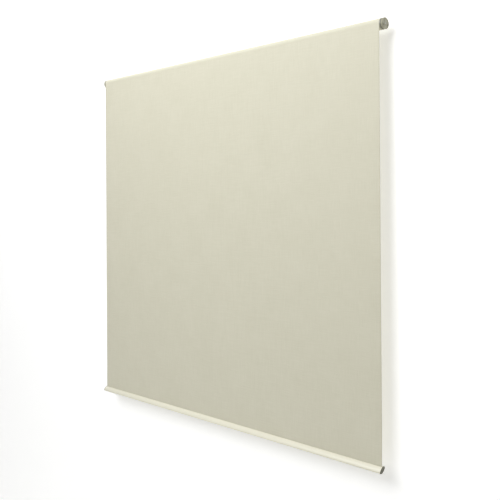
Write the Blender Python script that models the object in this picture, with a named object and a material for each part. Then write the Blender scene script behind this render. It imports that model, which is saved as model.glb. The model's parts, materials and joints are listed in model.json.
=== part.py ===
"""Spring roller blind, 1.6 m wide and 1.5 m long, hanging by two round end brackets.

Frame: the origin is on the roll's axis, halfway between the brackets. +X runs along the roll to the
right-hand end, -Y faces the room and +Z is up. The cloth leaves the front of the roll and hangs to the bar.
Along the roll, "depth" is measured inwards from a bracket's outer face, so both ends share their numbers.
"""

import math

import bmesh
import bpy
from mathutils import Matrix, Vector

# Driving dimensions, in metres.
BLIND_WIDTH = 1.600        # between the outer faces of the two brackets
CLOTH_WIDTH = 1.580
BLIND_DROP = 1.500         # top of the roll to the underside of the bar
ROLL_RADIUS = 0.0195       # over the cloth, with the blind let down
TUBE_RADIUS = 0.0180
TUBE_WALL = 0.0010
BAR_LONG = 0.0300          # the bar's section is a flat oval
BAR_THICK = 0.0142
BAR_TILT = math.radians(40.0)  # it hangs with its front edge low
GAP = 0.0003               # between pieces that touch

# The roll's ends.
END_MARGIN = (BLIND_WIDTH - CLOTH_WIDTH) / 2
CUP_PLATE = 0.0025
CUP_LENGTH = 0.0085
FLANGE_RADIUS = 0.0190
FLANGE_START = CUP_LENGTH + GAP
FLANGE_END = END_MARGIN - GAP
PLUG_RADIUS = TUBE_RADIUS - TUBE_WALL - 0.0004

# The channel along the tube that holds the cloth's key strip.
CHANNEL_WIDTH = 0.0060
CHANNEL_DEPTH = 0.0022
CHANNEL_FLOOR = TUBE_RADIUS - CHANNEL_DEPTH

# The spring end's lock: two pawls on the roll, two notches in the fixed hub.
RECESS_RADIUS = 0.0130
RECESS_FLOOR = 0.0170
WHEEL_RADIUS = 0.0070
PAWL_START, PAWL_END = 0.0134, 0.0164
PAWL_PIVOT_RADIUS = 0.0103
PAWL_LENGTH = 0.0086
PAWL_HALF = 0.0011
PAWL_EYE = 0.0024
PAWL_LIFTED = 35.0         # degrees between the pawl and the tangent at its pivot, as modelled
PAWL_DROPPED = 49.0        # the same, with the tip in its notch
PAWL_ANGLES = {"pawl_a": 120.0, "pawl_b": 300.0}

# The spring and its rod.
SPRING_RADIUS = 0.0090
SPRING_WIRE = 0.0007
ROD_RADIUS = 0.0025
ROD_START, ROD_END = 0.0310, 0.4840
ANCHOR_START = 0.4660

# The cloth and the bar.
CLOTH_THICKNESS = 0.0005
CLOTH_Y = -(ROLL_RADIUS + GAP + CLOTH_THICKNESS / 2)
BAR_HALF_HEIGHT = math.hypot(BAR_LONG / 2 * math.sin(BAR_TILT), BAR_THICK / 2 * math.cos(BAR_TILT))
BAR_Z = ROLL_RADIUS - BLIND_DROP + BAR_HALF_HEIGHT
BAR_WALL = 0.0013
BAR_HALF_LENGTH = CLOTH_WIDTH / 2
HEM_OFFSET = (0.0026, 0.0052)  # (y, z) of the hem's channel from the middle of the bar
BAR_Y = CLOTH_Y - HEM_OFFSET[0]
HEM_Z = BAR_Z + HEM_OFFSET[1]
HEM_ROD_RADIUS = 0.0020
CAP_THICKNESS = 0.0028


def clear_scene():
    for item in list(bpy.data.objects):
        bpy.data.objects.remove(item, do_unlink=True)


def make_material(name, colour, roughness, metallic=0.0):
    material = bpy.data.materials.new(name)
    material.use_nodes = True
    shader = material.node_tree.nodes["Principled BSDF"]
    shader.inputs["Base Color"].default_value = (*colour, 1.0)
    shader.inputs["Roughness"].default_value = roughness
    shader.inputs["Metallic"].default_value = metallic
    return material


FINISHES = {
    "cloth": ((0.72, 0.69, 0.58), 0.90, 0.0),
    "aluminium": ((0.78, 0.78, 0.77), 0.40, 1.0),
    "steel": ((0.56, 0.56, 0.55), 0.30, 1.0),
    "spring_steel": ((0.30, 0.30, 0.31), 0.35, 1.0),
    "grey_plastic": ((0.30, 0.30, 0.25), 0.45, 0.0),
    "dark_plastic": ((0.14, 0.14, 0.12), 0.45, 0.0),
    "white_plastic": ((0.80, 0.79, 0.74), 0.40, 0.0),
    "cream_paint": ((0.82, 0.80, 0.69), 0.35, 0.0),
    "card": ((0.45, 0.36, 0.24), 0.85, 0.0),
}


def add_piece(name, shape, finish, place=(0.0, 0.0, 0.0), parent=None):
    """Turns a bmesh into a named object with a material of its own."""
    bmesh.ops.recalc_face_normals(shape, faces=shape.faces)
    mesh = bpy.data.meshes.new(name)
    shape.to_mesh(mesh)
    shape.free()
    mesh.shade_smooth()
    mesh.set_sharp_from_angle(angle=math.radians(35))
    piece = bpy.data.objects.new(name, mesh)
    piece.location = place
    piece.parent = parent
    mesh.materials.append(make_material(name, *FINISHES[finish]))
    bpy.context.scene.collection.objects.link(piece)
    return piece


def add_empty(name, place):
    empty = bpy.data.objects.new(name, None)
    empty.location = place
    bpy.context.scene.collection.objects.link(empty)
    return empty


def combine(piece, shape, operation):
    """Cuts or adds a second shape, kept as a hidden wire object beside the piece."""
    bmesh.ops.recalc_face_normals(shape, faces=shape.faces)
    name = f"{piece.name}_tool_{len(piece.modifiers)}"
    mesh = bpy.data.meshes.new(name)
    shape.to_mesh(mesh)
    shape.free()
    tool = bpy.data.objects.new(name, mesh)
    tool.location = piece.location
    tool.parent = piece.parent
    tool.hide_render = True
    tool.display_type = "WIRE"
    bpy.context.scene.collection.objects.link(tool)
    modifier = piece.modifiers.new(name, "BOOLEAN")
    modifier.operation = operation
    modifier.solver = "EXACT"
    modifier.object = tool


def turned(profile, segments=48, centre=(0.0, 0.0)):
    """Turns (x, radius) points about the line along X through centre = (y, z).

    A profile that starts and ends at radius 0 is solid. Any other is a closed outline round a bore.
    """
    shape = bmesh.new()
    rings = []
    for x, radius in profile:
        if radius == 0.0:
            rings.append([shape.verts.new((x, *centre))])
            continue
        turn = [2 * math.pi * step / segments for step in range(segments)]
        rings.append([
            shape.verts.new((x, centre[0] + radius * math.cos(a), centre[1] + radius * math.sin(a)))
            for a in turn
        ])
    pairs = list(zip(rings, rings[1:]))
    if profile[0][1] > 0.0:
        pairs.append((rings[-1], rings[0]))
    for first, second in pairs:
        for step in range(segments):
            after = (step + 1) % segments
            corners = [first[step % len(first)], first[after % len(first)],
                       second[after % len(second)], second[step % len(second)]]
            shape.faces.new(list(dict.fromkeys(corners)))
    return shape


def prism(outline, x_start, x_end):
    """Extrudes a closed (y, z) outline along X."""
    shape = bmesh.new()
    base = [shape.verts.new((x_start, y, z)) for y, z in outline]
    face = shape.faces.new(base)
    grown = bmesh.ops.extrude_face_region(shape, geom=[face])
    moved = [item for item in grown["geom"] if isinstance(item, bmesh.types.BMVert)]
    bmesh.ops.translate(shape, verts=moved, vec=(x_end - x_start, 0.0, 0.0))
    return shape


def block(low, high):
    shape = bmesh.new()
    middle = (Vector(low) + Vector(high)) / 2
    size = Vector(high) - Vector(low)
    bmesh.ops.create_cube(shape, size=1.0, matrix=Matrix.Translation(middle) @ Matrix.Diagonal((*size, 1.0)))
    return shape


def circle(centre, radius, segments=24):
    angles = [2 * math.pi * step / segments for step in range(segments)]
    return [(centre[0] + radius * math.cos(a), centre[1] + radius * math.sin(a)) for a in angles]


def bar_point(along_section, across_section):
    """(y, z) of a point of the bar's tilted section, from its middle."""
    cosine, sine = math.cos(BAR_TILT), math.sin(BAR_TILT)
    return (along_section * cosine - across_section * sine, along_section * sine + across_section * cosine)


def bar_oval(inset=0.0, scale=1.0, segments=48):
    half_long, half_thick = (BAR_LONG / 2 - inset) * scale, (BAR_THICK / 2 - inset) * scale
    angles = [2 * math.pi * step / segments for step in range(segments)]
    return [bar_point(half_long * math.cos(a), half_thick * math.sin(a)) for a in angles]


def coil(x_start, x_end, radius, wire, turns, steps=10, sides=4):
    """A spring: a wire with a round-ended section wound about the X axis."""
    shape = bmesh.new()
    rings = []
    count = turns * steps
    for step in range(count + 1):
        angle = 2 * math.pi * step / steps
        x = x_start + wire + (x_end - x_start - 2 * wire) * step / count
        outward = Vector((0.0, math.cos(angle), math.sin(angle)))
        along = Vector((1.0, 0.0, 0.0))
        ring = []
        for side in range(sides):
            around = 2 * math.pi * (side + 0.5) / sides
            offset = wire * (math.cos(around) * outward + math.sin(around) * along)
            ring.append(shape.verts.new(Vector((x, 0.0, 0.0)) + radius * outward + offset))
        rings.append(ring)
    for first, second in zip(rings, rings[1:]):
        for side in range(sides):
            after = (side + 1) % sides
            shape.faces.new((first[side], first[after], second[after], second[side]))
    shape.faces.new(rings[0])
    shape.faces.new(rings[-1][::-1])
    return shape


def from_left(depth):
    return -BLIND_WIDTH / 2 + depth


def from_right(depth):
    return BLIND_WIDTH / 2 - depth


def along(profile, side):
    """Moves a (depth, radius) profile to the left or right end of the roll."""
    return [(side(depth), radius) for depth, radius in profile]


def keyway(side, start, end):
    """The slot in a plug that the tube's channel slides along."""
    reach = CHANNEL_WIDTH / 2 + TUBE_WALL + 0.0004
    ends = sorted((side(start), side(end)))
    return block((ends[0], -reach, CHANNEL_FLOOR - TUBE_WALL - GAP), (ends[1], reach, TUBE_RADIUS + 0.002))


# ---- brackets ----

def add_bracket(name, side, bore):
    """A round cup screwed to the side of the window recess, open towards the roll."""
    rim = 0.0018
    edge = 0.0006
    boss = 0.0070
    profile = [(0.0, bore), (0.0, ROLL_RADIUS - edge), (edge, ROLL_RADIUS), (CUP_LENGTH, ROLL_RADIUS),
               (CUP_LENGTH, ROLL_RADIUS - rim), (CUP_PLATE, ROLL_RADIUS - rim), (CUP_PLATE, boss + edge),
               (0.0055, boss), (0.0055, bore)]
    bracket = add_piece(name, turned(along(profile, side)), "grey_plastic")
    screw_hole = [(-0.001, 0.0), (-0.001, 0.0022), (0.0009, 0.0022), (0.0028, 0.0041), (0.0028, 0.0)]
    for angle in (210.0, 330.0):
        centre = (0.0124 * math.cos(math.radians(angle)), 0.0124 * math.sin(math.radians(angle)))
        combine(bracket, turned(along(screw_hole, side), 20, centre), "DIFFERENCE")
    return bracket


def add_brackets():
    add_bracket("bracket_right", from_right, bore=0.0033)
    bracket = add_bracket("bracket_left", from_left, bore=0.0)
    slot_half, slot_floor = 0.0016, -0.0043
    slot = block((from_left(-0.001), -slot_half, slot_floor), (from_left(0.010), slot_half, 0.022))
    combine(bracket, slot, "DIFFERENCE")


# ---- the roll ----

def tube_outline(radius, floor, half_width, segments=44):
    """A circle with a channel pressed into its top, from its right-hand lip round to its left-hand one."""
    lip = math.asin(half_width / radius)
    start, sweep = math.pi / 2 + lip, 2 * math.pi - 2 * lip
    points = [start + sweep * step / segments for step in range(segments + 1)]
    outline = [(radius * math.cos(a), radius * math.sin(a)) for a in points]
    return outline + [(half_width, floor), (-half_width, floor)]


def add_tube(parent):
    """An extruded tube: its outer and inner outlines share the channel, a wall thickness apart."""
    half_length = CLOTH_WIDTH / 2
    outer = tube_outline(TUBE_RADIUS, CHANNEL_FLOOR, CHANNEL_WIDTH / 2)
    inner = tube_outline(TUBE_RADIUS - TUBE_WALL, CHANNEL_FLOOR - TUBE_WALL, CHANNEL_WIDTH / 2 + TUBE_WALL)
    shape = bmesh.new()
    loops = []
    for x in (-half_length, half_length):
        for outline in (outer, inner):
            loops.append([shape.verts.new((x, y, z)) for y, z in outline])
    left_outer, left_inner, right_outer, right_inner = loops
    walls = [(left_outer, right_outer), (left_inner, right_inner), (left_outer, left_inner),
             (right_outer, right_inner)]
    for first, second in walls:
        for step in range(len(first)):
            after = (step + 1) % len(first)
            shape.faces.new((first[step], first[after], second[after], second[step]))
    add_piece("roller_tube", shape, "aluminium", parent=parent)


def add_cloth_on_roll(parent):
    half_length = CLOTH_WIDTH / 2
    strip = block((-half_length, -0.0025, CHANNEL_FLOOR + GAP), (half_length, 0.0025, TUBE_RADIUS - 0.0004))
    add_piece("cloth_key_strip", strip, "white_plastic", parent=parent)
    wound = [(-half_length, TUBE_RADIUS + GAP), (-half_length, ROLL_RADIUS), (half_length, ROLL_RADIUS),
             (half_length, TUBE_RADIUS + GAP)]
    add_piece("cloth_wound", turned(wound), "cloth", parent=parent)


def add_ribs(plug, side, start, end):
    """Six ribs between a plug's hub and its barrel, set clear of the keyway."""
    ends = sorted((side(start), side(end)))
    for rib in range(6):
        angle = math.radians(60.0 * rib)
        shape = block((ends[0], 0.0068, -0.0008), (ends[1], 0.0156, 0.0008))
        bmesh.ops.rotate(shape, verts=shape.verts, matrix=Matrix.Rotation(angle, 3, "X"))
        combine(plug, shape, "UNION")


def add_idler_end(parent):
    """The plain end: a plug with a sprung pin that drops into the right-hand bracket."""
    profile = [(0.0062, 0.0033), (0.0062, 0.0065), (FLANGE_START, 0.0065), (FLANGE_START, FLANGE_RADIUS),
               (FLANGE_END, FLANGE_RADIUS), (FLANGE_END, PLUG_RADIUS), (0.0400, PLUG_RADIUS),
               (0.0400, 0.0148), (0.0130, 0.0148), (0.0130, 0.0073), (0.0400, 0.0073), (0.0400, 0.0053),
               (0.0140, 0.0053), (0.0140, 0.0033)]
    plug = add_piece("idler_plug", turned(along(profile, from_right)), "white_plastic", parent=parent)
    add_ribs(plug, from_right, 0.0125, 0.0360)
    combine(plug, keyway(from_right, END_MARGIN, 0.041), "DIFFERENCE")

    pin = [(0.0008, 0.0), (0.0008, 0.0024), (0.0014, 0.0030), (0.0143, 0.0030), (0.0143, 0.0049),
           (0.0163, 0.0049), (0.0163, 0.0020), (0.0240, 0.0020), (0.0240, 0.0)]
    add_piece("idler_pin", turned(along(pin, from_right), 24), "steel")
    spring = coil(from_right(0.0359), from_right(0.0167), radius=0.0038, wire=0.0004, turns=8)
    add_piece("idler_pin_spring", spring, "spring_steel", parent=parent)
    retainer = [(0.0363, 0.0), (0.0363, 0.0047), (0.0366, 0.0050), (0.0388, 0.0050), (0.0388, 0.0)]
    add_piece("idler_retainer", turned(along(retainer, from_right), 24), "dark_plastic", parent=parent)


def add_spring_plug(parent):
    """The roll's plug at the spring end, with a recess for the pawls and a bearing for the fixed hub."""
    profile = [(FLANGE_START, RECESS_RADIUS), (FLANGE_START, FLANGE_RADIUS), (FLANGE_END, FLANGE_RADIUS),
               (FLANGE_END, PLUG_RADIUS), (0.0450, PLUG_RADIUS), (0.0450, 0.0148), (0.0220, 0.0148),
               (0.0220, 0.0090), (0.0450, 0.0090), (0.0450, 0.0070), (RECESS_FLOOR, 0.0070),
               (RECESS_FLOOR, RECESS_RADIUS)]
    plug = add_piece("spring_plug", turned(along(profile, from_left)), "white_plastic", parent=parent)
    combine(plug, keyway(from_left, END_MARGIN, 0.046), "DIFFERENCE")
    hole = [(0.0160, 0.0), (0.0160, 0.0015), (0.0203, 0.0015), (0.0203, 0.0)]
    for angle in PAWL_ANGLES.values():
        combine(plug, turned(along(hole, from_left), 16, pawl_pivot(angle)), "DIFFERENCE")
    sleeve = [(RECESS_FLOOR + GAP, 0.0054), (RECESS_FLOOR + GAP, 0.0067), (0.0447, 0.0067), (0.0447, 0.0054)]
    add_piece("bearing_sleeve", turned(along(sleeve, from_left), 32), "dark_plastic", parent=parent)
    cover = [(0.0102, 0.0060), (0.0102, 0.0127), (0.0112, 0.0127), (0.0112, 0.0060)]
    add_piece("pawl_cover", turned(along(cover, from_left), 40), "steel", parent=parent)


# ---- the lock ----

def pawl_pivot(angle):
    turn = math.radians(angle)
    return PAWL_PIVOT_RADIUS * math.cos(turn), PAWL_PIVOT_RADIUS * math.sin(turn)


def pawl_points(points, angle, slant):
    """Turns (along, across) points of a pawl about its pivot. The tip trails round the roll by slant."""
    turn = math.radians(angle - 90.0 - slant)
    cosine, sine = math.cos(turn), math.sin(turn)
    return [(u * cosine - v * sine, u * sine + v * cosine) for u, v in points]


def add_pawls(parent):
    """Each pawl is an arm with a round eye on its pivot, shown lifted clear of the hub's notch."""
    start_angle = math.asin(PAWL_HALF / PAWL_EYE)
    steps = 14
    sweep = 2 * math.pi - 2 * start_angle
    eye = [(PAWL_EYE * math.cos(start_angle + sweep * s / steps),
            PAWL_EYE * math.sin(start_angle + sweep * s / steps)) for s in range(steps + 1)]
    outline = eye + [(PAWL_LENGTH, -PAWL_HALF), (PAWL_LENGTH, PAWL_HALF)]
    pin = [(0.0115, 0.0), (0.0115, 0.0020), (0.0129, 0.0020), (0.0129, 0.0012), (0.0200, 0.0012),
           (0.0200, 0.0)]
    for name, angle in PAWL_ANGLES.items():
        pivot = pawl_pivot(angle)
        place = (from_left(PAWL_START), *pivot)
        shape = prism(pawl_points(outline, angle, PAWL_LIFTED), 0.0, PAWL_END - PAWL_START)
        pawl = add_piece(name, shape, "steel", place=place)
        hole = turned([(-0.001, 0.0), (-0.001, 0.0015), (0.004, 0.0015), (0.004, 0.0)], 16)
        combine(pawl, hole, "DIFFERENCE")
        pin_name = name.replace("pawl", "pawl_pivot")
        add_piece(pin_name, turned(along(pin, from_left), 16, pivot), "steel", parent=parent)


def add_fixed_hub():
    """The hub that the left-hand bracket holds still: lock wheel, shaft and sockets for blade and rod."""
    shaft, groove = 0.0051, 0.0043
    profile = [(0.0116, 0.0), (0.0116, 0.0055), (0.0130, 0.0055), (0.0130, WHEEL_RADIUS),
               (0.0164, WHEEL_RADIUS), (0.0164, shaft), (0.0450, shaft), (0.0450, groove),
               (0.0464, groove), (0.0464, shaft), (0.0500, shaft), (0.0500, 0.0)]
    hub = add_piece("lock_hub", turned(along(profile, from_left)), "steel")
    combine(hub, block((from_left(0.010), -0.0016, -0.0043), (from_left(0.0283), 0.0016, 0.0043)), "DIFFERENCE")
    socket = [(0.0307, 0.0), (0.0307, ROD_RADIUS + GAP), (0.0510, ROD_RADIUS + GAP), (0.0510, 0.0)]
    combine(hub, turned(along(socket, from_left), 24), "DIFFERENCE")
    clear = 0.0005
    across = PAWL_HALF + clear
    corners = [(0.003, -across), (PAWL_LENGTH + clear, -across), (PAWL_LENGTH + clear, across), (0.003, across)]
    for angle in PAWL_ANGLES.values():
        pivot = Vector(pawl_pivot(angle))
        notch = [tuple(pivot + Vector(point)) for point in pawl_points(corners, angle, PAWL_DROPPED)]
        combine(hub, prism(notch, from_left(0.0125), from_left(0.0170)), "DIFFERENCE")

    blade = block((from_left(0.0006), -0.0013, -0.0040), (from_left(0.0280), 0.0013, 0.0040))
    spindle = add_piece("flat_spindle", blade, "steel")
    bevel = spindle.modifiers.new("edges", "BEVEL")
    bevel.width = 0.0004
    bevel.segments = 2

    gap_half = math.radians(35)
    steps = 20
    turn = [math.pi / 2 + gap_half + (2 * math.pi - 2 * gap_half) * s / steps for s in range(steps + 1)]
    outline = [(0.0075 * math.cos(a), 0.0075 * math.sin(a)) for a in turn]
    outline += [(0.0046 * math.cos(a), 0.0046 * math.sin(a)) for a in reversed(turn)]
    add_piece("hub_circlip", prism(outline, from_left(0.0453), from_left(0.0461)), "spring_steel")


# ---- the spring ----

def add_spring_motor(parent):
    """The torsion spring on its rod. One end is held by the fixed ferrule, the other turns with the tube."""
    rod = [(ROD_START, 0.0), (ROD_START, ROD_RADIUS), (ROD_END, ROD_RADIUS), (ROD_END, 0.0)]
    add_piece("spindle_rod", turned(along(rod, from_left), 20), "steel")
    snout = SPRING_RADIUS - 0.0016
    bore = ROD_RADIUS + GAP
    ferrule = [(0.0505, bore), (0.0505, 0.0100), (0.0530, 0.0100), (0.0530, snout), (0.0660, snout),
               (0.0660, bore)]
    add_piece("spring_ferrule", turned(along(ferrule, from_left), 32), "dark_plastic")
    sleeve = [(0.0670, bore), (0.0670, 0.0060), (0.4490, 0.0060), (0.4490, bore)]
    add_piece("quiet_sleeve", turned(along(sleeve, from_left), 24), "card")
    spring = coil(from_left(0.0540), from_left(0.4650), SPRING_RADIUS, SPRING_WIRE, turns=26)
    add_piece("torsion_spring", spring, "spring_steel")
    bush = [(ANCHOR_START, bore), (ANCHOR_START, 0.0052), (0.4800, 0.0052), (0.4800, bore)]
    add_piece("rod_bush", turned(along(bush, from_left), 32), "dark_plastic")

    profile = [(0.4520, 0.0055), (0.4520, snout), (ANCHOR_START, snout), (ANCHOR_START, PLUG_RADIUS),
               (0.4870, PLUG_RADIUS), (0.4870, 0.0148), (0.4700, 0.0148), (0.4700, 0.0075),
               (0.4870, 0.0075), (0.4870, 0.0055)]
    anchor = add_piece("spring_anchor", turned(along(profile, from_left)), "white_plastic", parent=parent)
    combine(anchor, keyway(from_left, ANCHOR_START - 0.001, 0.488), "DIFFERENCE")


# ---- the hanging cloth and its bar ----

def add_hanging_cloth():
    half_width = CLOTH_WIDTH / 2
    half_thickness = CLOTH_THICKNESS / 2
    low = (-half_width, CLOTH_Y - half_thickness, HEM_Z + HEM_ROD_RADIUS + GAP)
    add_piece("cloth_drop", block(low, (half_width, CLOTH_Y + half_thickness, 0.0)), "cloth")


def add_bar(parent):
    """A flat oval extrusion. The round channel under its top slot grips the rod in the cloth's hem."""
    ends = (-BAR_HALF_LENGTH, BAR_HALF_LENGTH)
    over = (ends[0] - 0.001, ends[1] + 0.001)
    channel, channel_wall = 0.0030, 0.0011
    bar = add_piece("bottom_bar", prism(bar_oval(), *ends), "cream_paint", parent=parent)
    combine(bar, prism(bar_oval(BAR_WALL), *over), "DIFFERENCE")
    combine(bar, prism(circle(HEM_OFFSET, channel + channel_wall), *ends), "UNION")
    combine(bar, prism(circle(HEM_OFFSET, channel), *over), "DIFFERENCE")
    slot_half = 0.0012
    slot = block((over[0], HEM_OFFSET[0] - slot_half, HEM_OFFSET[1]),
                 (over[1], HEM_OFFSET[0] + slot_half, BAR_LONG))
    combine(bar, slot, "DIFFERENCE")

    rod_ends = (ends[0] + 0.002, ends[1] - 0.002)
    add_piece("hem_rod", prism(circle(HEM_OFFSET, HEM_ROD_RADIUS, 16), *rod_ends), "white_plastic",
              parent=parent)
    corners = [(-0.0030, -0.0045), (0.0074, -0.0045), (0.0074, -0.0024), (-0.0030, -0.0024)]
    weight = prism([bar_point(*corner) for corner in corners], *rod_ends)
    add_piece("bar_weight", weight, "steel", parent=parent)
    for name, way in (("bar_cap_left", -1), ("bar_cap_right", 1)):
        add_bar_cap(name, way, parent)


def add_bar_cap(name, way, parent):
    """A moulded cap: an oval plate with a rounded edge and two pegs that push into the bar."""
    inside = BAR_HALF_LENGTH + GAP
    steps = [(0.0, 1.0), (0.55, 1.0), (0.85, 0.965), (1.0, 0.90)]
    shape = bmesh.new()
    rings = []
    for share, scale in steps:
        x = way * (inside + CAP_THICKNESS * share)
        rings.append([shape.verts.new((x, y, z)) for y, z in bar_oval(scale=scale)])
    for first, second in zip(rings, rings[1:]):
        for step in range(len(first)):
            after = (step + 1) % len(first)
            shape.faces.new((first[step], first[after], second[after], second[step]))
    shape.faces.new(rings[0])
    shape.faces.new(rings[-1])
    cap = add_piece(name, shape, "dark_plastic", parent=parent)
    for centre in (bar_point(-0.0075, 0.0), bar_point(0.0109, -0.0004)):
        peg = [(way * (inside + 0.001), 0.0), (way * (inside + 0.001), 0.0016),
               (way * (inside - 0.012), 0.0016), (way * (inside - 0.012), 0.0)]
        combine(cap, turned(peg, 16, centre), "UNION")


def build():
    clear_scene()
    roll_axis = add_empty("roll_axis", (0.0, 0.0, 0.0))
    bar_frame = add_empty("bar_frame", (0.0, BAR_Y, BAR_Z))
    add_brackets()
    add_tube(roll_axis)
    add_cloth_on_roll(roll_axis)
    add_idler_end(roll_axis)
    add_spring_plug(roll_axis)
    add_pawls(roll_axis)
    add_fixed_hub()
    add_spring_motor(roll_axis)
    add_hanging_cloth()
    add_bar(bar_frame)


build()
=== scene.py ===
# Spring roller blind, let down: its looks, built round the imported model.
# Metres. X runs along the roll, -Y faces the room, Z is up and the origin is on the roll's axis.
import json
import math

import bpy
from mathutils import Matrix, Vector, noise


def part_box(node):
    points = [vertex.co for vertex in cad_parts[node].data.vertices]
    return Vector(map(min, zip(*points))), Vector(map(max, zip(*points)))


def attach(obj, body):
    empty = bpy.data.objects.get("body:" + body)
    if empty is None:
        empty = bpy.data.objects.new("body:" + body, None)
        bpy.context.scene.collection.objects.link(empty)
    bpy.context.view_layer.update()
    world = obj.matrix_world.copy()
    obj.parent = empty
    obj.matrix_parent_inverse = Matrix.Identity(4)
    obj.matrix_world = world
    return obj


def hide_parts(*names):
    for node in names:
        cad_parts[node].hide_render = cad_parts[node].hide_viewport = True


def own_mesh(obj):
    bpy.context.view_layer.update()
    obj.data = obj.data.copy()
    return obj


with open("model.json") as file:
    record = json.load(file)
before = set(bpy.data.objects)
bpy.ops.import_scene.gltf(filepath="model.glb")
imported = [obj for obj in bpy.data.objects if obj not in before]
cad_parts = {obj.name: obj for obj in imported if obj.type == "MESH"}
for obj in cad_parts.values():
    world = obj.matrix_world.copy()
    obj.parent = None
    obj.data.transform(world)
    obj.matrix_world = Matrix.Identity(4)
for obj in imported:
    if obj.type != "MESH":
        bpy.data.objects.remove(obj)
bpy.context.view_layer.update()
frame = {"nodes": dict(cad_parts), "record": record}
print("frame loaded:", len(frame["nodes"]), "nodes")


# ---- camera ----

cameraView = {
    "place": (2.135, -1.999, -0.6095),
    "turn": 44.55,     # degrees left of square on
    "roll": -0.371,
    "lens": 51.6,
    "shiftY": -0.082,  # puts the horizon above the middle of the view
}


def addCamera(view):
    data = bpy.data.cameras.new("camera")
    data.lens = view["lens"]
    data.sensor_width = 36
    data.shift_y = view["shiftY"]
    data.clip_end = 60
    camera = bpy.data.objects.new("camera", data)
    bpy.context.scene.collection.objects.link(camera)
    turn = Matrix.Rotation(math.radians(view["turn"]), 4, "Z") @ Matrix.Rotation(math.radians(90), 4, "X")
    camera.matrix_world = (Matrix.Translation(view["place"]) @ turn
                           @ Matrix.Rotation(math.radians(view["roll"]), 4, "Z"))
    bpy.context.scene.camera = camera


addCamera(cameraView)


# ---- material tools ----

def linearColour(hexText):
    channels = [int(hexText[i:i + 2], 16) / 255 for i in (0, 2, 4)]
    return tuple(c / 12.92 if c <= 0.04045 else ((c + 0.055) / 1.055) ** 2.4 for c in channels) + (1.0,)


def addNode(tree, kind, links=None, values=None, **settings):
    node = tree.nodes.new(kind)
    for name, value in settings.items():
        setattr(node, name, value)
    for socket, value in (values or {}).items():
        node.inputs[socket].default_value = value
    for socket, source in (links or {}).items():
        tree.links.new(source, node.inputs[socket])
    return node


def newMaterial(name, roughness, metallic=0.0, **sockets):
    material = bpy.data.materials.new(name)
    material.use_nodes = True
    tree = material.node_tree
    shader = tree.nodes["Principled BSDF"]
    shader.inputs["Roughness"].default_value = roughness
    shader.inputs["Metallic"].default_value = metallic
    for socket, value in sockets.items():
        shader.inputs[socket.replace("_", " ")].default_value = value
    return material, tree, shader


def placeOf(tree, kind="Object", scale=(1, 1, 1), turn=(0, 0, 0)):
    start = addNode(tree, "ShaderNodeTexCoord")
    mapping = addNode(tree, "ShaderNodeMapping", {"Vector": start.outputs[kind]},
                      {"Scale": scale, "Rotation": turn})
    return mapping.outputs["Vector"]


def grain(tree, place, sizeMm, detail=2.0, rough=0.5):
    # noise whose blotches are about sizeMm across, before the place is stretched
    node = addNode(tree, "ShaderNodeTexNoise", {"Vector": place},
                   {"Scale": 1000 / sizeMm, "Detail": detail, "Roughness": rough})
    return node.outputs["Fac"]


def between(tree, factor, low, high, fromLow=0.0, fromHigh=1.0):
    node = addNode(tree, "ShaderNodeMapRange", {"Value": factor},
                   {"From Min": fromLow, "From Max": fromHigh, "To Min": low, "To Max": high})
    return node.outputs["Result"]


def maths(tree, operation, first, second):
    node = addNode(tree, "ShaderNodeMath", operation=operation)
    for index, value in enumerate((first, second)):
        if isinstance(value, bpy.types.NodeSocket):
            tree.links.new(value, node.inputs[index])
        else:
            node.inputs[index].default_value = value
    return node.outputs["Value"]


def tint(tree, factor, first, second):
    node = addNode(tree, "ShaderNodeMix", {"Factor": factor}, data_type="RGBA")
    node.inputs["A"].default_value = linearColour(first)
    node.inputs["B"].default_value = linearColour(second)
    return next(o for o in node.outputs if o.type == "RGBA")


def bump(tree, shader, height, reliefMm, strength=1.0):
    node = addNode(tree, "ShaderNodeBump", {"Height": height},
                   {"Distance": reliefMm / 1000, "Strength": strength})
    tree.links.new(node.outputs["Normal"], shader.inputs["Normal"])


# ---- materials ----

clothWeave = {
    "threadMm": 0.55,      # real spacing of the threads, for the relief
    "slubMm": 2.6,         # thick threads, drawn as coarse as a whole blind shows them
    "slubLength": 22.0,    # their length, in thicknesses
    "mottleMm": 110.0,
    "edgeMm": 3.0,         # width of the darker band along each side edge
    "edgeFullMm": 0.6,     # its fully darkened part
    "edgeStrength": 0.75,
}


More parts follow.
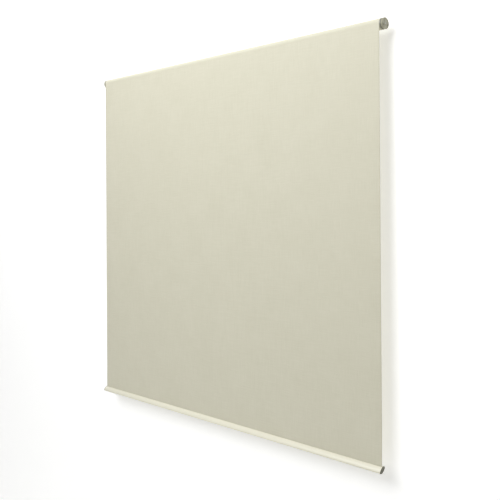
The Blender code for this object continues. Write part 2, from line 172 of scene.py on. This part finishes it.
def polyesterCloth(name, coordinates, weave, width):
    # Plain-weave polyester, stiffened and heat-cut: matt cream with faint thick and thin threads both ways.
    material, tree, shader = newMaterial(name, 0.62, Sheen_Weight=0.12, Sheen_Roughness=0.5,
                                         Specular_IOR_Level=0.5)
    flat = (math.pi / 2, 0, 0) if coordinates == "Object" else (0, 0, 0)
    place = placeOf(tree, coordinates, turn=flat)
    split = addNode(tree, "ShaderNodeSeparateXYZ", {"Vector": place})
    stretched = []
    for scale in ((1 / weave["slubLength"], 1, 1), (1, 1 / weave["slubLength"], 1)):
        mapping = addNode(tree, "ShaderNodeMapping", {"Vector": place}, {"Scale": scale})
        stretched.append(grain(tree, mapping.outputs["Vector"], weave["slubMm"], 3.0, 0.6))
    slubs = maths(tree, "MULTIPLY", maths(tree, "ADD", *stretched), 0.5)
    mottle = grain(tree, place, weave["mottleMm"], 2.0)
    tone = maths(tree, "ADD", between(tree, slubs, -0.55, 0.55, 0.38, 0.62),
                 between(tree, mottle, -0.22, 0.22, 0.3, 0.7))
    body = tint(tree, between(tree, tone, 0.0, 1.0, -1.0, 1.0), "d5d2bd", "dfdcc9")
    fromMiddle = maths(tree, "ABSOLUTE", split.outputs["X"], 0.0)
    # The last few millimetres at each side edge are drawn darker, towards colour bbb8a7.
    edgeDarkening = between(tree, fromMiddle, 0.0, weave["edgeStrength"],
                     width / 2 - weave["edgeMm"] / 1000, width / 2 - weave["edgeFullMm"] / 1000)
    colour = addNode(tree, "ShaderNodeMix", {"Factor": edgeDarkening}, data_type="RGBA")
    tree.links.new(body, colour.inputs[6])
    colour.inputs[7].default_value = linearColour("bbb8a7")
    tree.links.new(colour.outputs[2], shader.inputs["Base Color"])
    threads = []
    for direction in ("X", "Y"):
        wave = addNode(tree, "ShaderNodeTexWave", {"Vector": place},
                       {"Scale": math.pi / 10 * 1000 / weave["threadMm"], "Distortion": 0.6, "Detail": 1.0},
                       bands_direction=direction)
        threads.append(wave.outputs["Fac"])
    relief = maths(tree, "ADD", maths(tree, "MULTIPLY", maths(tree, "ADD", *threads), 0.25),
                   maths(tree, "MULTIPLY", slubs, 1.2))
    bump(tree, shader, relief, 0.10, 0.8)
    return material


def powderCoat():
    # Cream polyester powder coat on an aluminium extrusion: satin, with a fine orange peel.
    material, tree, shader = newMaterial("cream powder coat on aluminium", 0.34, Coat_Weight=0.08)
    place = placeOf(tree)
    peel = grain(tree, place, 1.6, 2.0)
    cloudy = grain(tree, placeOf(tree, scale=(0.08, 1, 1)), 18.0)
    tree.links.new(tint(tree, cloudy, "eeebd8", "f5f2e0"), shader.inputs["Base Color"])
    tree.links.new(between(tree, peel, 0.28, 0.42, 0.3, 0.7), shader.inputs["Roughness"])
    bump(tree, shader, peel, 0.02, 0.6)
    return material


def mouldedPlastic(name, dark, light, grainMm, roughness, reliefMm=0.02):
    # Injection-moulded plastic from a spark-eroded tool: even satin with faint flow marks and rubbed spots.
    material, tree, shader = newMaterial(name, roughness)
    place = placeOf(tree)
    flow = grain(tree, placeOf(tree, scale=(0.5, 1, 1)), 6.0, 3.0)
    tree.links.new(tint(tree, between(tree, flow, 0.0, 1.0, 0.3, 0.7), dark, light),
                   shader.inputs["Base Color"])
    fine = grain(tree, place, grainMm, 2.0)
    tree.links.new(between(tree, fine, roughness - 0.08, roughness + 0.08, 0.3, 0.7),
                   shader.inputs["Roughness"])
    bump(tree, shader, fine, reliefMm, 0.6)
    return material


def millAluminium():
    # Extruded aluminium, mill finish: bright, with die lines along its length.
    material, tree, shader = newMaterial("aluminium extruded mill finish", 0.38, 1.0)
    dieLines = grain(tree, placeOf(tree, scale=(0.004, 1, 1)), 0.5, 3.0)
    tree.links.new(tint(tree, dieLines, "c9cac8", "dcdcd9"), shader.inputs["Base Color"])
    tree.links.new(between(tree, dieLines, 0.28, 0.48, 0.3, 0.7), shader.inputs["Roughness"])
    bump(tree, shader, dieLines, 0.015, 0.5)
    return material


def zincSteel():
    # Mild steel, turned or stamped and zinc plated: cool grey with a faint cloudy bloom.
    material, tree, shader = newMaterial("steel zinc plated", 0.32, 1.0)
    place = placeOf(tree)
    bloom = grain(tree, place, 4.0, 4.0, 0.6)
    tree.links.new(tint(tree, bloom, "a9adb0", "c6c8c8"), shader.inputs["Base Color"])
    marks = grain(tree, placeOf(tree, scale=(1, 0.15, 0.15)), 0.35, 1.0)
    tree.links.new(between(tree, bloom, 0.24, 0.42, 0.3, 0.7), shader.inputs["Roughness"])
    bump(tree, shader, marks, 0.008, 0.5)
    return material


def springWire():
    # Hard-drawn spring wire, lightly oiled: dark, fairly glossy steel with drawing lines round the coil.
    material, tree, shader = newMaterial("spring steel drawn and oiled", 0.30, 1.0)
    lines = grain(tree, placeOf(tree, scale=(1, 0.1, 0.1)), 0.3, 2.0)
    tree.links.new(tint(tree, lines, "5f6163", "85878a"), shader.inputs["Base Color"])
    tree.links.new(between(tree, lines, 0.22, 0.38, 0.3, 0.7), shader.inputs["Roughness"])
    bump(tree, shader, lines, 0.006, 0.4)
    return material


def kraftCard():
    # Kraft paper tube, spiral wound: brown and matt, with fibres and the seams of the winding.
    material, tree, shader = newMaterial("kraft card spiral wound", 0.85)
    place = placeOf(tree)
    fibres = grain(tree, placeOf(tree, scale=(0.2, 1, 1)), 0.8, 4.0, 0.65)
    seams = addNode(tree, "ShaderNodeTexWave", {"Vector": placeOf(tree, turn=(0, 0, math.radians(28)))},
                    {"Scale": 3.2, "Distortion": 0.3}, wave_profile="SAW")
    tone = maths(tree, "ADD", maths(tree, "MULTIPLY", fibres, 0.7),
                 maths(tree, "MULTIPLY", seams.outputs["Fac"], 0.3))
    tree.links.new(tint(tree, tone, "8a6f4b", "b89a70"), shader.inputs["Base Color"])
    bump(tree, shader, maths(tree, "ADD", fibres, grain(tree, place, 0.4)), 0.04, 0.6)
    return material


# ---- modelling tools ----

def deselectAll():
    bpy.ops.object.select_all(action="DESELECT")


def makeActive(piece):
    deselectAll()
    bpy.context.view_layer.objects.active = piece
    piece.select_set(True)


def applyPlace(piece, name):
    piece.name = name
    piece.data.name = name
    makeActive(piece)
    bpy.ops.object.transform_apply(location=True, rotation=True, scale=True)
    return piece


def applyModifier(piece, kind, **settings):
    modifier = piece.modifiers.new(kind.lower(), kind)
    for name, value in settings.items():
        setattr(modifier, name, value)
    makeActive(piece)
    bpy.ops.object.modifier_apply(modifier=modifier.name)


def combine(piece, tool, operation):
    applyModifier(piece, "BOOLEAN", operation=operation, object=tool, solver="EXACT")
    bpy.data.objects.remove(tool, do_unlink=True)


def softenEdges(piece, width, segments=2, angle=35):
    applyModifier(piece, "BEVEL", width=width, segments=segments, limit_method="ANGLE",
                  angle_limit=math.radians(angle), use_clamp_overlap=True)


def smoothShade(piece, angle=35):
    makeActive(piece)
    bpy.ops.object.shade_smooth_by_angle(angle=math.radians(angle))


def faceOutwards(piece):
    makeActive(piece)
    bpy.ops.object.mode_set(mode="EDIT")
    bpy.ops.mesh.select_all(action="SELECT")
    bpy.ops.mesh.normals_make_consistent(inside=False)
    bpy.ops.object.mode_set(mode="OBJECT")


def extrudedSolid(name, sections, sides, halfLong=1.0, halfThick=1.0, tilt=0.0, centre=(0.0, 0.0)):
    # A filled oval at the first (x, scale) section, extruded and resized to each of the next.
    deselectAll()
    bpy.ops.mesh.primitive_circle_add(vertices=sides, radius=1.0, fill_type="NGON")
    piece = bpy.context.object
    x, scale = sections[0]
    cosine, sine = math.cos(tilt), math.sin(tilt)
    turn = Matrix(((0, 0, 1, 0), (cosine, -sine, 0, 0), (sine, cosine, 0, 0), (0, 0, 0, 1)))
    stretch = Matrix.Diagonal((halfLong * scale, halfThick * scale, 1, 1))
    piece.matrix_world = Matrix.Translation((x, *centre)) @ turn @ stretch
    applyPlace(piece, name)
    bpy.ops.object.mode_set(mode="EDIT")
    bpy.ops.mesh.select_all(action="SELECT")
    for nextX, nextScale in sections[1:]:
        bpy.ops.mesh.extrude_region_move(TRANSFORM_OT_translate={"value": (nextX - x, 0, 0)})
        share = nextScale / scale
        bpy.ops.transform.resize(value=(1, share, share), center_override=(nextX, *centre))
        x, scale = nextX, nextScale
    bpy.ops.object.mode_set(mode="OBJECT")
    faceOutwards(piece)
    return piece


def boxTool(low, high, turn=0.0):
    # A block turned about the X axis, for cutting and joining.
    deselectAll()
    bpy.ops.mesh.primitive_cube_add(size=1.0)
    tool = bpy.context.object
    middle, size = (Vector(low) + Vector(high)) / 2, Vector(high) - Vector(low)
    tool.matrix_world = (Matrix.Rotation(turn, 4, "X") @ Matrix.Translation(middle)
                         @ Matrix.Diagonal((*size, 1)))
    return applyPlace(tool, "tool")


def finishPiece(piece, body, slotName, material, *stoodFor):
    piece.data.materials.clear()
    piece.data.materials.append(material)
    if stoodFor:
        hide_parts(*stoodFor)
    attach(piece, body)
    print("made", piece.name, len(piece.data.polygons), "faces")


# ---- sizes taken from the frame ----

dropLow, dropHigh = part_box("cloth_drop")
barLow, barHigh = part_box("bottom_bar")
hemLow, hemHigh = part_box("hem_rod")

clothShort = 0.002    # cut short of the tube at each end
clothSize = {
    "width": dropHigh.x - dropLow.x - 2 * clothShort,
    "thickness": 0.00036,
    "pitch": 0.0004,          # from one turn on the roll to the next
    "turns": 3.25,            # from the key strip at the top to the front of the roll
    "innerRadius": 0.01825,   # middle of the first turn, on the tube
    "planeY": (dropLow.y + dropHigh.y) / 2,
    "bottom": dropLow.z,
    "columns": 170,
    "rows": 150,
    "rollColumns": 12,
    "stepsPerTurn": 96,
    "leaveOver": 0.05,              # drop over which it comes off the roll into its own plane
    "calmOver": 0.12,               # stretch above the bar over which the ripple dies out
    "ripple": 0.0011,
    "fineRipple": 0.00018,
    "curlWidth": 0.020,
    "curl": 0.0010,
    "curlWaver": 0.0007,
    "tuckTurn": math.radians(8),    # last stretch on the roll, which dips to the key strip
    "tuck": 0.00045,
    "edgeWander": 0.00035,          # how far the turns' edges miss each other
}
clothSize["outerRadius"] = clothSize["innerRadius"] + clothSize["pitch"] * clothSize["turns"]


# ---- cloth ----

def clothGrid(name, columns, rows, width, length):
    # An upright grid that faces the room and hangs down from z = 0.
    deselectAll()
    bpy.ops.mesh.primitive_grid_add(x_subdivisions=columns, y_subdivisions=rows, size=1.0)
    piece = bpy.context.object
    piece.matrix_world = (Matrix.Translation((0, 0, -length / 2)) @ Matrix.Rotation(math.pi / 2, 4, "X")
                          @ Matrix.Diagonal((width, length, 1, 1)))
    return applyPlace(piece, name)


def easeIn(share):
    share = min(max(share, 0.0), 1.0)
    return share * share * (3 - 2 * share)


def hangingCloth(size):
    length = -size["bottom"]
    piece = clothGrid("hanging_cloth", size["columns"], size["rows"], size["width"], length)
    half = size["width"] / 2
    for vertex in piece.data.vertices:
        x, z = vertex.co.x, vertex.co.z
        leave = easeIn(-z / size["leaveOver"])
        free = leave * easeIn((z - size["bottom"]) / size["calmOver"])
        edge = easeIn((abs(x) - half + size["curlWidth"]) / size["curlWidth"])
        ripple = noise.noise(Vector((x * 1.9, 3.1, z * 0.8))) * size["ripple"]
        ripple += noise.noise(Vector((x * 7.0, 9.4, z * 2.3))) * size["fineRipple"]
        waver = noise.noise(Vector((math.copysign(5.0, x), 1.7, z * 3.0)))
        curl = edge * (size["curl"] + size["curlWaver"] * waver)
        vertex.co.y = -size["outerRadius"] * (1 - leave) + size["planeY"] * leave + (ripple + curl) * free
    applyModifier(piece, "SOLIDIFY", thickness=size["thickness"], offset=0.0)
    smoothShade(piece, 50)
    finishPiece(piece, "fixed", "cloth", hangingFinish, "cloth_drop")
    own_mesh(piece)
    return piece


def rollCloth(size):
    # One sheet wound in from the front of the roll, over the top, to the key strip in the tube's channel.
    sweep = 2 * math.pi * size["turns"]
    steps = int(size["turns"] * size["stepsPerTurn"])
    meanRadius = (size["innerRadius"] + size["outerRadius"]) / 2
    length = sweep * meanRadius
    piece = clothGrid("roll_cloth", size["rollColumns"], steps, size["width"], 1.0)
    along = {}
    for vertex in piece.data.vertices:
        share = -vertex.co.z
        angle = math.pi - sweep * share
        radius = size["outerRadius"] - size["pitch"] * size["turns"] * share
        lastBit = (share - 1) * sweep + size["tuckTurn"]
        radius -= size["tuck"] * easeIn(lastBit / size["tuckTurn"])
        waver = noise.noise(Vector((math.copysign(3.0, vertex.co.x), share * 9.0, 0.4)))
        inset = size["edgeWander"] * abs(waver)
        vertex.co.x -= math.copysign(inset, vertex.co.x) * (abs(vertex.co.x) / (size["width"] / 2))
        vertex.co.y = radius * math.cos(angle)
        vertex.co.z = radius * math.sin(angle)
        along[vertex.index] = share * length
    layer = piece.data.uv_layers.active    # the grid's own
    for loop in piece.data.loops:
        layer.data[loop.index].uv = (piece.data.vertices[loop.vertex_index].co.x, along[loop.vertex_index])
    applyModifier(piece, "SOLIDIFY", thickness=size["thickness"], offset=0.0)
    smoothShade(piece, 50)
    finishPiece(piece, "roller", "cloth", woundFinish, "cloth_wound")
    return piece


clothWidth = clothSize["width"]
hangingFinish = polyesterCloth("polyester cloth plain weave hanging", "Object", clothWeave, clothWidth)
woundFinish = polyesterCloth("polyester cloth plain weave on the roll", "UV", clothWeave, clothWidth)
rollCloth(clothSize)
hangingCloth(clothSize)
print("cloth made")


# ---- bottom bar ----

barSize = {
    "halfLong": 0.0150,
    "halfThick": 0.0071,
    "tilt": math.radians(40),
    "wall": 0.0013,
    "channel": 0.0030,
    "channelWall": 0.0011,
    "slotHalf": 0.0012,
    "lip": 0.0003,
    "sides": 112,
    "capSides": 72,
    "capGap": 0.0003,
    "pegs": ((-0.0075, 0.0), (0.0109, -0.0004)),    # along and across the oval, from its middle
    "pegRadius": 0.0016,
    "pegLong": 0.0105,
    "pegTipRadius": 0.0010,
    "pegTipLong": 0.0015,
}
barMiddle = ((barLow.y + barHigh.y) / 2, (barLow.z + barHigh.z) / 2)
hemMiddle = ((hemLow.y + hemHigh.y) / 2, (hemLow.z + hemHigh.z) / 2)


def ovalSolid(name, sections, size, inset=0.0, sides=None):
    return extrudedSolid(name, sections, sides or size["sides"], size["halfLong"] - inset,
                         size["halfThick"] - inset, size["tilt"], barMiddle)


def barRail(size):
    ends = [(barLow.x, 1.0), (barHigh.x, 1.0)]
    over = [(barLow.x - 0.002, 1.0), (barHigh.x + 0.002, 1.0)]
    piece = ovalSolid("bar_rail", ends, size)
    combine(piece, ovalSolid("tool", over, size, size["wall"]), "DIFFERENCE")
    boss = size["channel"] + size["channelWall"]
    combine(piece, extrudedSolid("tool", ends, 40, boss, boss, 0.0, hemMiddle), "UNION")
    bore = size["channel"]
    combine(piece, extrudedSolid("tool", over, 40, bore, bore, 0.0, hemMiddle), "DIFFERENCE")
    slot = boxTool((over[0][0], hemMiddle[0] - size["slotHalf"], hemMiddle[1]),
                   (over[1][0], hemMiddle[0] + size["slotHalf"], hemMiddle[1] + 0.02))
    combine(piece, slot, "DIFFERENCE")
    softenEdges(piece, size["lip"], 2, 40)
    smoothShade(piece, 30)
    finishPiece(piece, "bar", "bar", powderCoat(), "bottom_bar")


def barCap(name, node, way, size, material):
    # Pillow-edged plate with a sunk panel and two pegs inside the bar.
    low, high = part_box(node)
    outside = max(abs(low.x), abs(high.x))
    inside = barHigh.x + size["capGap"]
    depth = outside - inside
    steps = [(0.0, 0.985), (0.10, 1.0), (0.55, 1.0), (0.76, 0.985), (0.90, 0.955), (1.0, 0.90), (1.0, 0.80),
             (0.80, 0.77), (0.80, 0.46), (0.93, 0.42)]
    sections = [(way * (inside + depth * share), scale) for share, scale in steps]
    piece = ovalSolid(name, sections, size, 0.0, size["capSides"])
    cosine, sine = math.cos(size["tilt"]), math.sin(size["tilt"])
    for longWay, thickWay in size["pegs"]:
        spot = (barMiddle[0] + longWay * cosine - thickWay * sine,
                barMiddle[1] + longWay * sine + thickWay * cosine)
        pegEnd = inside - size["pegLong"]
        peg = [(way * (inside + 0.001), size["pegRadius"]), (way * pegEnd, size["pegRadius"]),
               (way * (pegEnd - size["pegTipLong"]), size["pegTipRadius"])]
        combine(piece, extrudedSolid("tool", peg, 24, 1.0, 1.0, 0.0, spot), "UNION")
    smoothShade(piece, 40)
    finishPiece(piece, "bar", "bar_cap", material, node)


barRail(barSize)
capFinish = mouldedPlastic("nylon moulded dark grey", "5c5b4c", "6e6d5d", 0.5, 0.42)
barCap("bar_end_left", "bar_cap_left", -1, barSize, capFinish)
barCap("bar_end_right", "bar_cap_right", 1, barSize, capFinish)
print("bar made")


# ---- end brackets ----

cupSize = {
    "sides": 96,
    "rim": 0.0016,
    "shoulder": 0.0024,    # rounding towards the roll
    "faceSink": 0.0008,
    "boss": 0.0070,
    "plate": 0.0025,
    "bossDepth": 0.0055,
    "ribHalf": 0.00045,
    "ribs": 6,
    "screwRing": 0.0124,
    "screwAngles": (210, 330),
    "screwPad": 0.0034,
    "screwHole": 0.0022,
    "countersink": 0.0041,
    "pinBore": 0.0033,     # in the right-hand cup
    "bladeHalf": 0.0016,   # slot for the flat spindle, in the left-hand cup
    "bladeSeat": -0.0043,
}


def endBracket(name, node, way, size, material):
    # Round cup: sunk ribbed back, two countersunk screw holes, and a boss that carries the roll's end.
    low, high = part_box(node)
    face = max(abs(low.x), abs(high.x))
    radius = high.z
    length = high.x - low.x
    inner = radius - size["shoulder"] - size["rim"]
    sink = size["faceSink"]
    profile = [(0.0, 0.0052), (0.0001, 0.0054), (sink, 0.0056), (sink, radius - 0.0030),
               (0.0001, radius - 0.0028), (0.0, radius - 0.0026), (0.0, radius - 0.0013),
               (0.0003, radius - 0.0006), (0.0008, radius - 0.0002), (0.0015, radius)]
    for step in range(7):
        turn = math.radians(15 * step)
        profile.append((length - size["shoulder"] * (1 - math.sin(turn)),
                        radius - size["shoulder"] * (1 - math.cos(turn))))
    profile += [(length, inner + 0.0003), (length - 0.0003, inner), (size["plate"], inner),
                (size["plate"], size["boss"] + 0.0006), (size["bossDepth"] - 0.0003, size["boss"]),
                (size["bossDepth"], size["boss"] - 0.0003)]
    piece = extrudedSolid(name, [(way * (face - depth), r) for depth, r in profile], size["sides"])
    for rib in range(size["ribs"]):
        ends = sorted((way * (face - 0.0015), way * (face - 0.0001)))
        tool = boxTool((ends[0], 0.0045, -size["ribHalf"]), (ends[1], radius - 0.0024, size["ribHalf"]),
                       2 * math.pi * rib / size["ribs"])
        combine(piece, tool, "UNION")
    for angle in size["screwAngles"]:
        turn = math.radians(angle)
        spot = (size["screwRing"] * math.cos(turn), size["screwRing"] * math.sin(turn))
        pad = [(way * (face - 0.0001), size["screwPad"]), (way * (face - 0.0020), size["screwPad"] + 0.0002)]
        combine(piece, extrudedSolid("tool", pad, 32, 1.0, 1.0, 0.0, spot), "UNION")
        hole = [(way * (face + 0.001), size["screwHole"]), (way * (face - 0.0009), size["screwHole"]),
                (way * (face - 0.0028), size["countersink"])]
        combine(piece, extrudedSolid("tool", hole, 32, 1.0, 1.0, 0.0, spot), "DIFFERENCE")
    if way > 0:
        bore = [(face + 0.001, size["pinBore"]), (face - 0.010, size["pinBore"])]
        combine(piece, extrudedSolid("tool", bore, 40), "DIFFERENCE")
    else:
        slot = boxTool((-face - 0.001, -size["bladeHalf"], size["bladeSeat"]),
                       (-face + 0.010, size["bladeHalf"], 0.0220))
        combine(piece, slot, "DIFFERENCE")
    smoothShade(piece, 35)
    finishPiece(piece, "fixed", "bracket", material, node)


bracketFinish = mouldedPlastic("nylon moulded olive grey", "96947f", "b0ae9a", 0.6, 0.45, 0.03)
endBracket("end_bracket_right", "bracket_right", 1, cupSize, bracketFinish)
endBracket("end_bracket_left", "bracket_left", -1, cupSize, bracketFinish)
print("brackets made")


# ---- springs ----

def woundSpring(name, node, wire, turns, steps, sides):
    # A round wire screwed along X. Its ends are capped.
    low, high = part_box(node)
    radius = (high.z - low.z) / 2 - wire
    deselectAll()
    bpy.ops.mesh.primitive_circle_add(vertices=sides, radius=wire, fill_type="NGON")
    piece = bpy.context.object
    upright = Matrix.Rotation(math.pi / 2, 4, "X")
    piece.matrix_world = Matrix.Translation((low.x + wire, 0, radius)) @ upright
    applyPlace(piece, name)
    travel = (high.x - low.x - 2 * wire) / turns
    bpy.ops.object.mode_set(mode="EDIT")
    bpy.ops.mesh.select_all(action="SELECT")
    bpy.ops.mesh.delete(type="ONLY_FACE")
    bpy.ops.object.mode_set(mode="OBJECT")
    applyModifier(piece, "SCREW", axis="X", screw_offset=travel, iterations=turns, steps=steps,
                  render_steps=steps, use_smooth_shade=True)
    bpy.ops.object.mode_set(mode="EDIT")
    bpy.ops.mesh.select_mode(type="VERT")
    bpy.ops.mesh.select_all(action="DESELECT")
    bpy.ops.mesh.select_non_manifold()
    bpy.ops.mesh.edge_face_add()
    bpy.ops.object.mode_set(mode="OBJECT")
    faceOutwards(piece)
    smoothShade(piece, 50)
    return piece


wireFinish = springWire()
motorSpring = woundSpring("motor_spring", "torsion_spring", wire=0.0007, turns=280, steps=18, sides=8)
finishPiece(motorSpring, "fixed", "spring_steel", wireFinish, "torsion_spring")
pinSpring = woundSpring("pin_spring", "idler_pin_spring", wire=0.0004, turns=8, steps=40, sides=12)
finishPiece(pinSpring, "roller", "spring_steel", wireFinish, "idler_pin_spring")
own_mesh(pinSpring)
print("springs made")


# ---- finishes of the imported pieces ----

slotFinishes = {
    "bracket": bracketFinish,
    "tube": millAluminium(),
    "cloth": hangingFinish,
    # The plug is grey moulding, drawn darker than its own grey as painted shade in the gap between the cup
    # and the roll.
    "plug": mouldedPlastic("nylon moulded grey with painted gap shade", "6f6e62", "7f7e71", 0.5, 0.42),
    "steel": zincSteel(),
    "spring_steel": wireFinish,
    "dark_plastic": mouldedPlastic("acetal moulded black", "2a2a26", "35352f", 0.4, 0.35, 0.01),
    "white_plastic": mouldedPlastic("pvc extruded white", "d9d7cd", "e6e4da", 0.8, 0.40, 0.01),
    "card": kraftCard(),
    "bar": bpy.data.materials["cream powder coat on aluminium"],
    "bar_cap": capFinish,
}
for part in frame["record"]["subparts"]:
    node = frame["nodes"][part["node"]]
    node.data.materials.clear()
    node.data.materials.append(slotFinishes[part["material_slot"]])
print("packed pieces finished")


# ---- studio ----

studio = {
    "wallY": 0.045,
    "wallWidth": 12.0,
    "wallHeight": 6.0,
    "floorZ": -2.5,
    "floorSide": 14.0,
    "keyPlace": (-0.2, -3.1, 1.95),
    "keyAim": (0.0, 0.0, 0.8),     # above the roll, so that the light falls off down the cloth
    "keySize": 3.4,
    "keySpread": 120,              # degrees, as through a grid
    "keyPower": 70.0,
    "skyTop": 0.82,                # straight overhead, falling to skyLow at the horizon and below
    "skyLow": 0.03,
    "seenSky": 0.85,               # how bright the empty room itself looks
    "wallGlow": 0.33,
}


def paleMatt(name, hexText, glow, oneSided):
    # Matt white paper. Seen from behind, the wall lets the view through.
    material, tree, shader = newMaterial(name, 0.9, Specular_IOR_Level=0.0)
    shader.inputs["Base Color"].default_value = linearColour(hexText)
    shader.inputs["Emission Color"].default_value = (1, 1, 1, 1)
    shader.inputs["Emission Strength"].default_value = glow
    if oneSided:
        side = addNode(tree, "ShaderNodeNewGeometry")
        clear = addNode(tree, "ShaderNodeBsdfTransparent")
        mix = addNode(tree, "ShaderNodeMixShader", {0: side.outputs["Backfacing"],
                                                    1: shader.outputs["BSDF"], 2: clear.outputs["BSDF"]})
        tree.links.new(mix.outputs["Shader"], tree.nodes["Material Output"].inputs["Surface"])
    return material


def stagePlane(name, size, place, turn, material):
    deselectAll()
    bpy.ops.mesh.primitive_plane_add(size=1.0, location=place, rotation=turn)
    plane = bpy.context.object
    plane.scale = (*size, 1)
    applyPlace(plane, name)
    plane.data.materials.append(material)


def addStudio(room):
    wallPaper = paleMatt("paper wall", "fafafa", room["wallGlow"], True)
    wallMiddle = (0, room["wallY"], room["floorZ"] + room["wallHeight"] / 2)
    stagePlane("wall", (room["wallWidth"], room["wallHeight"]), wallMiddle, (math.pi / 2, 0, 0), wallPaper)
    floorPaper = paleMatt("paper floor", "e4e4e1", 0.0, False)
    floorSize = (room["floorSide"], room["floorSide"])
    stagePlane("floor", floorSize, (0, 0, room["floorZ"]), (0, 0, 0), floorPaper)
    light = bpy.data.lights.new("key", "AREA")
    light.shape = "DISK"
    light.size = room["keySize"]
    light.energy = room["keyPower"]
    light.spread = math.radians(room["keySpread"])
    key = bpy.data.objects.new("key", light)
    key.location = room["keyPlace"]
    aim = Vector(room["keyAim"]) - Vector(room["keyPlace"])
    key.rotation_euler = aim.to_track_quat("-Z", "Y").to_euler()
    bpy.context.scene.collection.objects.link(key)
    world = bpy.data.worlds.new("white room")
    world.use_nodes = True
    tree = world.node_tree
    background = tree.nodes["Background"]
    background.inputs["Color"].default_value = (1, 1, 1, 1)
    way = addNode(tree, "ShaderNodeTexCoord")
    height = addNode(tree, "ShaderNodeSeparateXYZ", {"Vector": way.outputs["Generated"]})
    above = between(tree, height.outputs["Z"], 0.0, 1.0)
    sky = between(tree, above, room["skyLow"], room["skyTop"])
    seen = addNode(tree, "ShaderNodeLightPath")
    strength = addNode(tree, "ShaderNodeMix", {0: seen.outputs["Is Camera Ray"], 2: sky},
                       {3: room["seenSky"]})
    tree.links.new(strength.outputs[0], background.inputs["Strength"])
    bpy.context.scene.world = world
    bpy.context.scene.view_settings.view_transform = "Standard"


addStudio(studio)
print("studio set")
